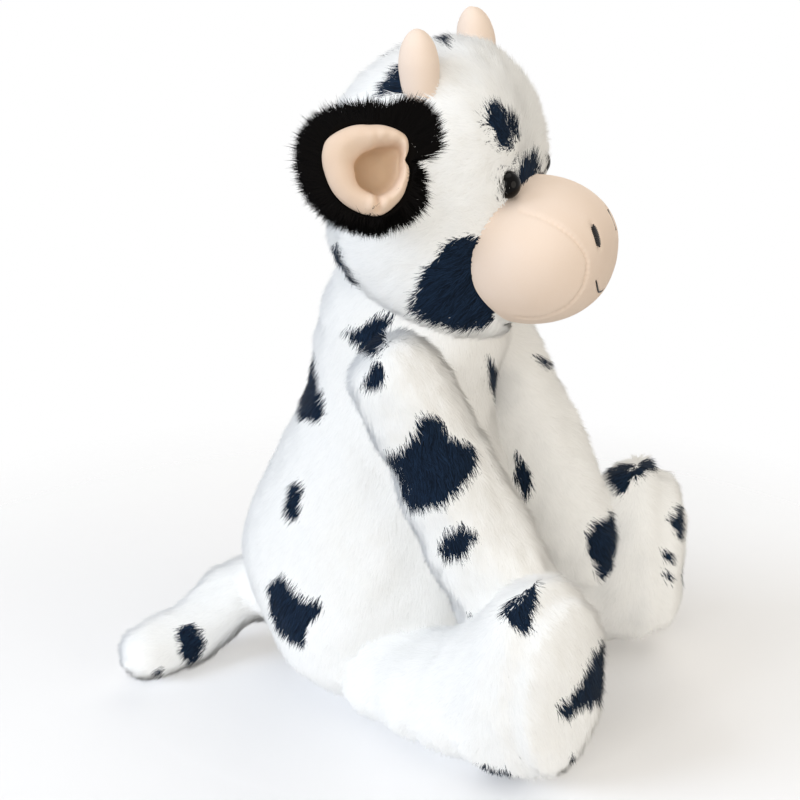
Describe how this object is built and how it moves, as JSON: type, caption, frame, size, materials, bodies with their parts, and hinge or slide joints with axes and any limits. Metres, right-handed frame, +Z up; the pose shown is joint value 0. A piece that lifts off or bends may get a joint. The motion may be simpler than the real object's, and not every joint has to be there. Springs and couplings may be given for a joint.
{
  "type": "seated plush cow",
  "caption": "Seated stuffed toy cow with a sewn pile skin, peach muzzle and horns, curled ears, weighted feet and a soft tail; its head, limbs, ears and tail move.",
  "frame": {"origin": "on the flat of the seat, under the neck", "axes": "+Z up, -Y the way the cow faces, +X its left side"},
  "size_m": [0.1988, 0.2189, 0.2841],
  "materials": {
    "white_pile": "long plush pile, white with navy-black patches",
    "black_pile": "long plush pile, black",
    "peach_velboa": "short smooth pile, peach",
    "fibre": "polyester fibre stuffing",
    "pellet_cloth": "woven cloth bag of pellets",
    "thread": "satin stitch",
    "eye_plastic": "polished dark brown",
    "washer_plastic": "moulded"
  },
  "bodies": {
    "torso": {"torso_skin": "white_pile", "torso_stuffing": "fibre", "seat_pellet_bag": "pellet_cloth"},
    "head": {"head_skin": "white_pile", "head_stuffing": "fibre", "muzzle_skin": "peach_velboa", "muzzle_stuffing": "fibre", "mouth_stitch": "thread", "left_eye": "eye_plastic", "left_eye_washer": "washer_plastic", "left_horn_skin": "peach_velboa", "left_horn_stuffing": "fibre", "left_nostril": "thread", "right_eye": "eye_plastic", "right_eye_washer": "washer_plastic", "right_horn_skin": "peach_velboa", "right_horn_stuffing": "fibre", "right_nostril": "thread"},
    "left_arm": {"left_arm_skin": "white_pile", "left_arm_stuffing": "fibre"},
    "left_leg": {"left_leg_skin": "white_pile", "left_sole": "white_pile", "left_leg_stuffing": "fibre", "left_foot_pellet_bag": "pellet_cloth"},
    "left_ear": {"left_ear_back": "black_pile", "left_ear_lining": "peach_velboa"},
    "right_arm": {"right_arm_skin": "white_pile", "right_arm_stuffing": "fibre"},
    "right_leg": {"right_leg_skin": "white_pile", "right_sole": "white_pile", "right_leg_stuffing": "fibre", "right_foot_pellet_bag": "pellet_cloth"},
    "right_ear": {"right_ear_back": "black_pile", "right_ear_lining": "peach_velboa"},
    "tail": {"tail_skin": "white_pile", "tail_stuffing": "fibre"}
  },
  "joints": [
    {"name": "head_turn", "type": "hinge", "parent": "torso", "child": "head", "pos_m": [0, -0.006, 0.158], "axis": [0, 0, 1], "range_deg": [-15, 15]},
    {"name": "left_shoulder", "type": "hinge", "parent": "torso", "child": "left_arm", "pos_m": [0.048, -0.019, 0.15], "axis": [-1, 0, 0], "range_deg": [0, 28]},
    {"name": "left_hip", "type": "hinge", "parent": "torso", "child": "left_leg", "pos_m": [0.046, -0.02, 0.0235], "axis": [0, 0, 1], "range_deg": [0, 12]},
    {"name": "left_ear_fold", "type": "hinge", "parent": "head", "child": "left_ear", "pos_m": [0.04549, -0.03356, 0.23667], "axis": [0.2311, -0.2476, -0.9409], "range_deg": [0, 30]},
    {"name": "right_shoulder", "type": "hinge", "parent": "torso", "child": "right_arm", "pos_m": [-0.048, -0.019, 0.15], "axis": [-1, 0, 0], "range_deg": [0, 28]},
    {"name": "right_hip", "type": "hinge", "parent": "torso", "child": "right_leg", "pos_m": [-0.046, -0.02, 0.0235], "axis": [0, 0, -1], "range_deg": [0, 12]},
    {"name": "right_ear_fold", "type": "hinge", "parent": "head", "child": "right_ear", "pos_m": [-0.04549, -0.03356, 0.23667], "axis": [0.2311, 0.2476, 0.9409], "range_deg": [0, 30]},
    {"name": "tail_swing", "type": "hinge", "parent": "torso", "child": "tail", "pos_m": [0, 0.061, 0.029], "axis": [0, 0, 1], "range_deg": [-20, 20]}
  ]
}
